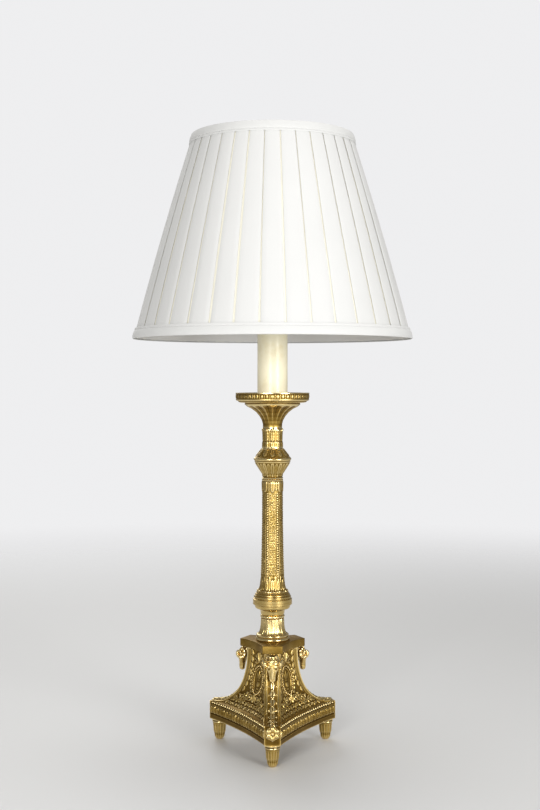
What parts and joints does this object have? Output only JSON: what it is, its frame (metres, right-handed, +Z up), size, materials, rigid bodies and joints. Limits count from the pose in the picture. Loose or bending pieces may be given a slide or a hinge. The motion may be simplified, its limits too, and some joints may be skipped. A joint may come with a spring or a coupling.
{
  "type": "table lamp",
  "caption": "Candlestick table lamp: tripod base with ram's heads, turned column with drip pan, candle sleeve, and a box-pleated empire shade on a harp.",
  "frame": {"origin": "on the surface that the lamp stands on, under the axis of the column", "axes": "+Z up along the column; one corner of the base points along -Y, the harp stands in the XZ plane, the cord inlet is on the +Y side"},
  "size_m": [0.3574, 0.3574, 0.7889],
  "materials": {
    "gilt_bronze": "cast and chased bronze, gilt, burnished on the high parts and darker in the recesses",
    "polished_brass": "polished and lacquered",
    "plated_steel": "zinc plated, dull",
    "candle_cream": "smooth, satin, candle coloured",
    "shade_cloth": "fine plain weave, matt",
    "lining_cloth": "plain lining cloth, matt",
    "white_wire": "white baked paint on steel wire",
    "black_phenolic": "moulded, satin",
    "socket_card": "fibre board",
    "aluminium_shell": "rolled, bright"
  },
  "bodies": {
    "root": {"base_casting": "gilt_bronze", "abacus": "gilt_bronze", "column_base": "gilt_bronze", "lower_knop": "gilt_bronze", "shaft": "gilt_bronze", "upper_knop": "gilt_bronze", "capital_neck": "gilt_bronze", "pan_trumpet": "gilt_bronze", "drip_pan": "gilt_bronze", "foot_1": "gilt_bronze", "foot_2": "gilt_bronze", "foot_3": "gilt_bronze", "ram_head_1": "gilt_bronze", "ram_head_2": "gilt_bronze", "ram_head_3": "gilt_bronze", "ram_head_screws": "plated_steel", "base_washer": "plated_steel", "lock_washer": "plated_steel", "base_nut": "plated_steel", "column_nut": "plated_steel", "saddle_nut": "plated_steel", "tie_rod": "plated_steel", "candle_seat": "plated_steel", "cord_bushing": "black_phenolic", "candle_sleeve": "candle_cream", "candle_cap": "polished_brass", "harp_saddle": "polished_brass", "harp_wire": "polished_brass", "harp_stud": "polished_brass", "socket_cap": "polished_brass", "socket_shell": "polished_brass", "socket_liner": "socket_card", "socket_insulator": "black_phenolic", "screw_shell": "aluminium_shell", "centre_contact": "polished_brass"},
    "switch": {"switch_knob": "black_phenolic"},
    "ferrule_left": {"ferrule_left": "polished_brass"},
    "ferrule_right": {"ferrule_right": "polished_brass"},
    "shade": {"shade_cover": "shade_cloth", "shade_lining": "lining_cloth", "shade_top_ring": "white_wire", "shade_bottom_ring": "white_wire", "shade_rib_1": "white_wire", "shade_rib_2": "white_wire", "shade_rib_3": "white_wire", "shade_rib_4": "white_wire", "shade_rib_5": "white_wire", "shade_rib_6": "white_wire", "shade_rib_7": "white_wire", "shade_rib_8": "white_wire", "shade_spider": "white_wire", "shade_top_trim": "shade_cloth", "shade_bottom_trim": "shade_cloth"},
    "finial": {"finial": "polished_brass"}
  },
  "joints": [
    {"name": "switch_knob_turn", "type": "hinge", "parent": "root", "child": "switch", "pos_m": [0, -0.02, 0.59155], "axis": [0, -1, 0], "continuous": true},
    {"name": "ferrule_left_slide", "type": "slide", "parent": "root", "child": "ferrule_left", "axis": [0, 0, 1], "range_m": [0, 0.012]},
    {"name": "ferrule_right_slide", "type": "slide", "parent": "root", "child": "ferrule_right", "axis": [0, 0, 1], "range_m": [0, 0.012]},
    {"name": "shade_turn", "type": "hinge", "parent": "root", "child": "shade", "pos_m": [0, 0, 0.7613], "axis": [0, 0, 1], "continuous": true},
    {"name": "finial_turn", "type": "hinge", "parent": "root", "child": "finial", "pos_m": [0, 0, 0.765], "axis": [0, 0, 1], "continuous": true}
  ]
}
